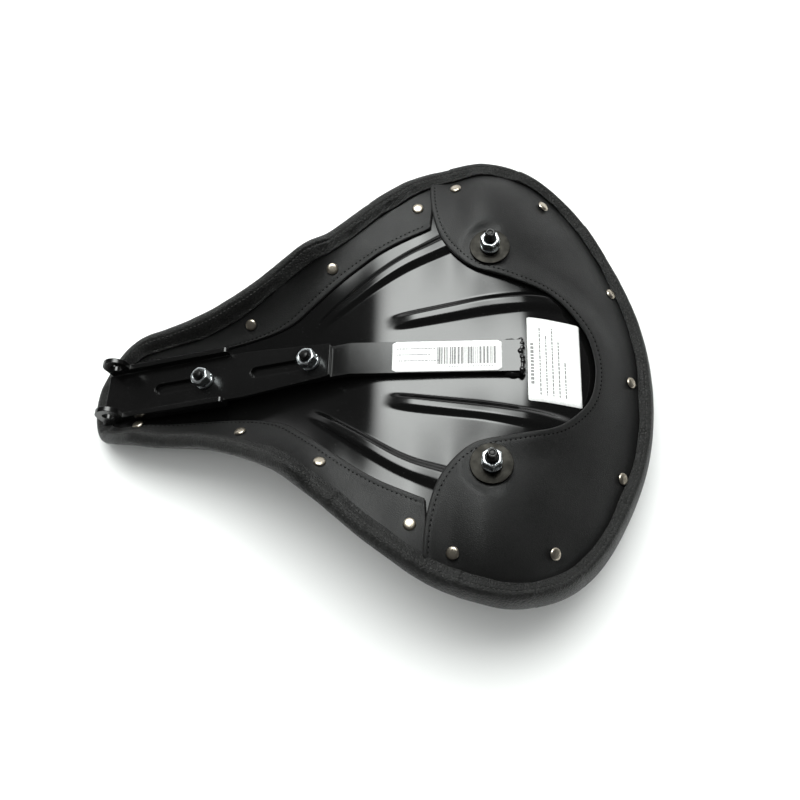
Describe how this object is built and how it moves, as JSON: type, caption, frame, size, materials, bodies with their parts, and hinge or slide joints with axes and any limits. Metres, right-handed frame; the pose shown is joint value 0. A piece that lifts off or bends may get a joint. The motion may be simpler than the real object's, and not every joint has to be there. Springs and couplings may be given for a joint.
{
  "type": "motorcycle solo seat",
  "caption": "Sprung solo motorcycle seat lying upside down, with slotted front hinge bracket, centre strap, riveted leather underside and rear mounting studs.",
  "frame": {"origin": "middle of the front hinge bore, on its axis half way between the two ears", "axes": "+X towards the tail, +Y across the seat, along the hinge bore, +Z out of the underside of the pan: the seat is stored lying on its cushion, so +Z points down when it is mounted"},
  "size_m": [0.439, 0.3582, 0.1254],
  "materials": {
    "pan_enamel": "gloss",
    "strap_enamel": "gloss",
    "weld_enamel": "satin",
    "bracket_enamel": "satin",
    "cover_leather": "satin",
    "hem_leather": "satin",
    "panel_leather": "satin",
    "foam": "matte",
    "rivet_nickel": "polished",
    "zinc": "polished",
    "stud_steel": "satin",
    "washer_steel": "satin",
    "label_paper": "matte",
    "tag_paper": "matte"
  },
  "bodies": {
    "root": {"seat_pan": "pan_enamel", "foam_pad": "foam", "leather_cover": "cover_leather", "edge_hem": "hem_leather", "rear_panel": "panel_leather", "side_panel_left": "panel_leather", "side_panel_right": "panel_leather", "rear_panel_rivets": "rivet_nickel", "side_rivets_left": "rivet_nickel", "side_rivets_right": "rivet_nickel", "centre_strap": "strap_enamel", "strap_weld": "weld_enamel", "front_bolt_fore": "zinc", "front_bolt_aft": "zinc", "front_lock_washer_fore": "zinc", "front_lock_washer_aft": "zinc", "front_nut_fore": "zinc", "front_nut_aft": "zinc", "rear_stud_left": "stud_steel", "rear_stud_right": "stud_steel", "rear_flat_washer_left": "washer_steel", "rear_flat_washer_right": "washer_steel", "rear_lock_washer_left": "zinc", "rear_lock_washer_right": "zinc", "rear_nut_left": "zinc", "rear_nut_right": "zinc", "bar_label": "label_paper", "inspection_tag": "tag_paper"},
    "front_bracket": {"front_bracket": "bracket_enamel"}
  },
  "joints": [
    {"name": "bracket_slide", "type": "slide", "parent": "root", "child": "front_bracket", "axis": [0.9455, 0, 0.3256], "range_m": [0, 0.036]}
  ]
}
